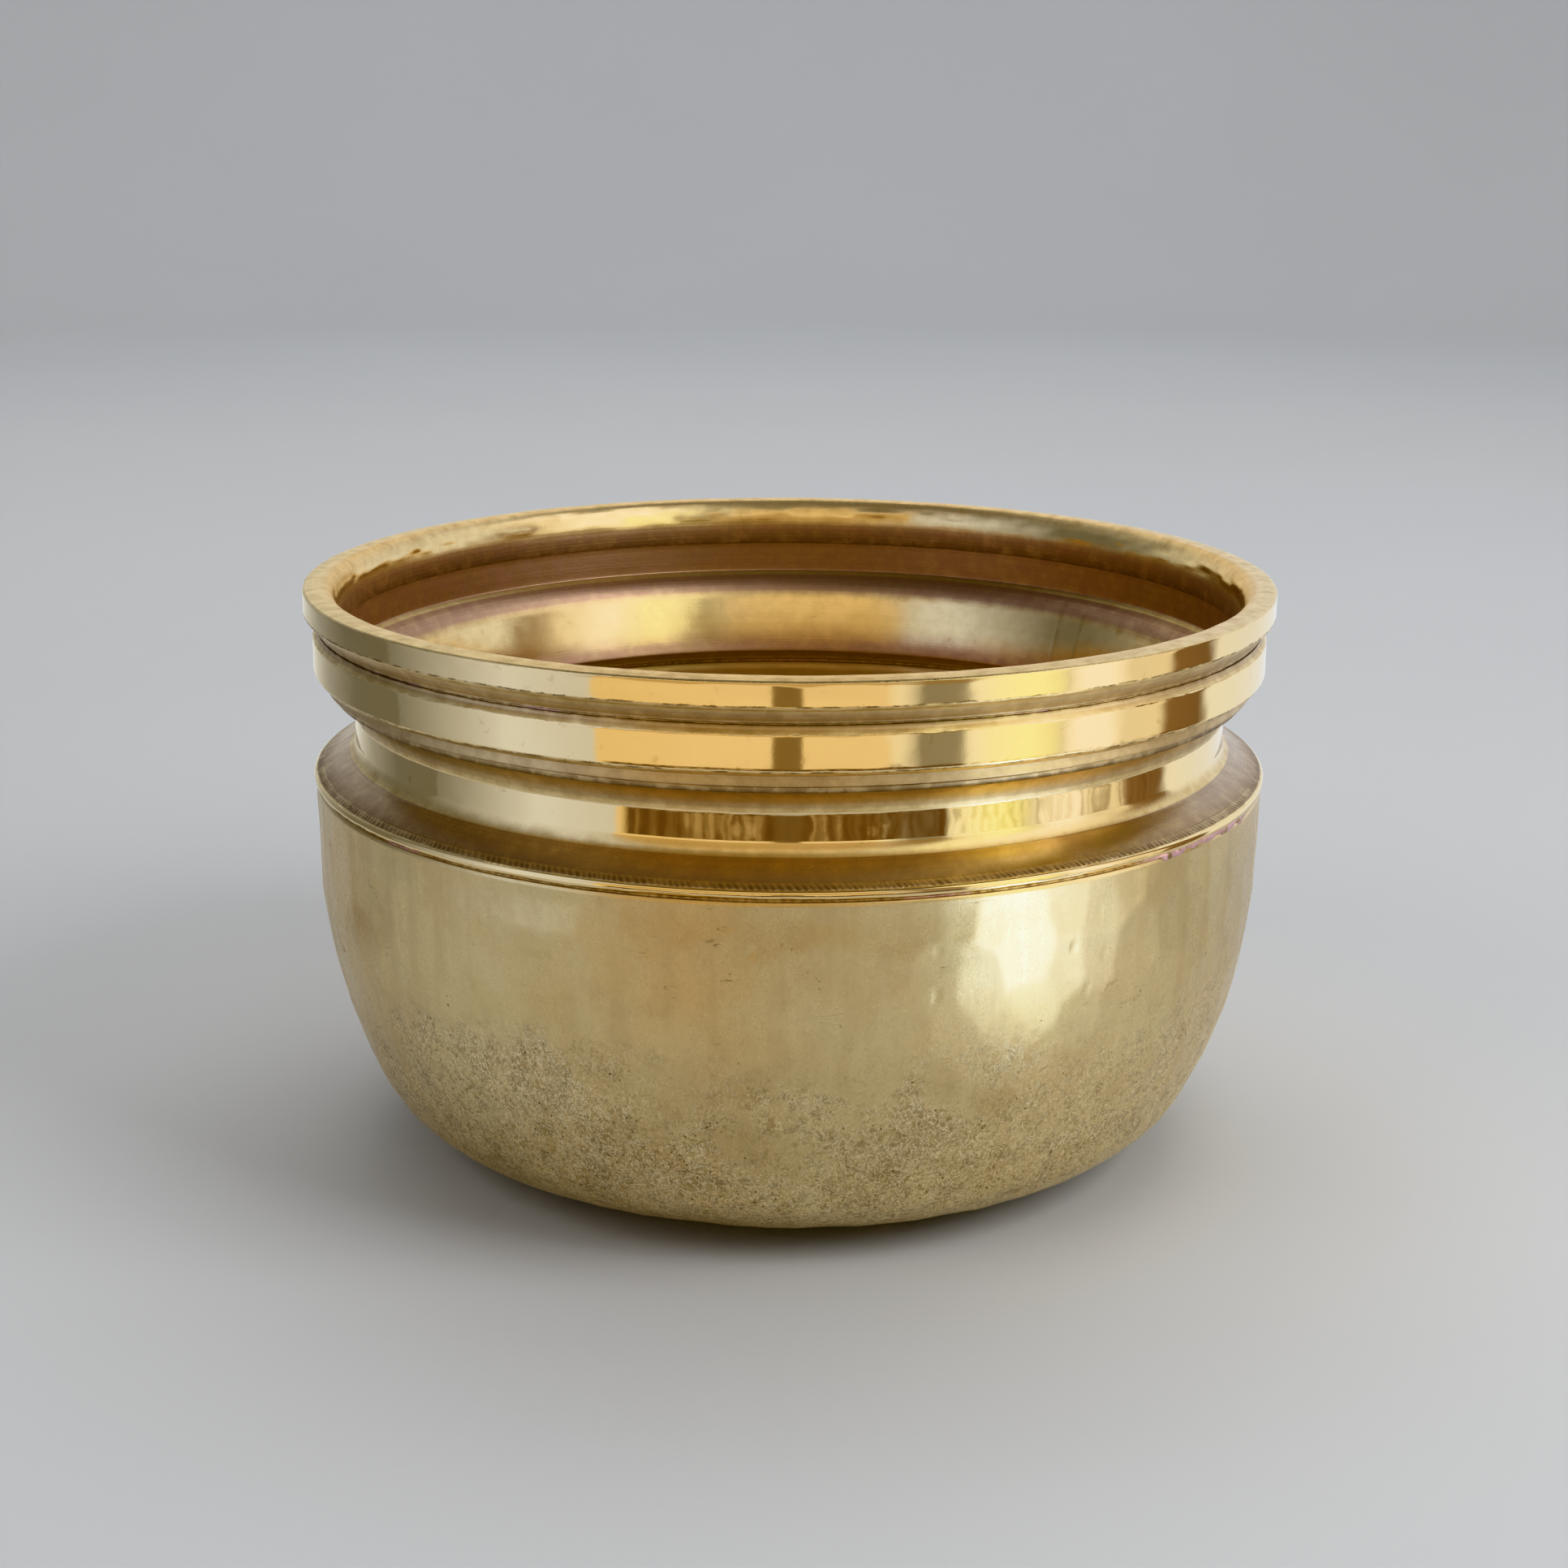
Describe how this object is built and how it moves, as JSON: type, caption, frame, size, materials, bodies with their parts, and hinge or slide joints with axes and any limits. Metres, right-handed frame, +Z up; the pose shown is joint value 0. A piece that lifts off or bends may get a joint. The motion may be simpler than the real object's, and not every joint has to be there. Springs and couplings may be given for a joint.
{
  "type": "singing bowl",
  "caption": "Free-standing brass singing bowl: hammered cup with a rounded base, lathe-turned stepped collar and a heavy polished rim.",
  "frame": {"origin": "centre of the flat foot, on the surface the bowl stands on", "axes": "+Z up along the bowl's axis of revolution"},
  "size_m": [0.24, 0.24, 0.1425],
  "materials": {
    "hammered_brass": "satin, hammered, with fine pits and light tarnish",
    "turned_brass": "lathe-turned and polished, brown tarnish inside",
    "polished_brass": "polished, slightly uneven edges",
    "braze": "dull, pinkish braze metal"
  },
  "bodies": {
    "root": {"body_cup": "hammered_brass", "shoulder_braze": "braze", "neck_collar": "turned_brass", "rim_braze": "braze", "rim_ring": "polished_brass"}
  },
  "joints": []
}
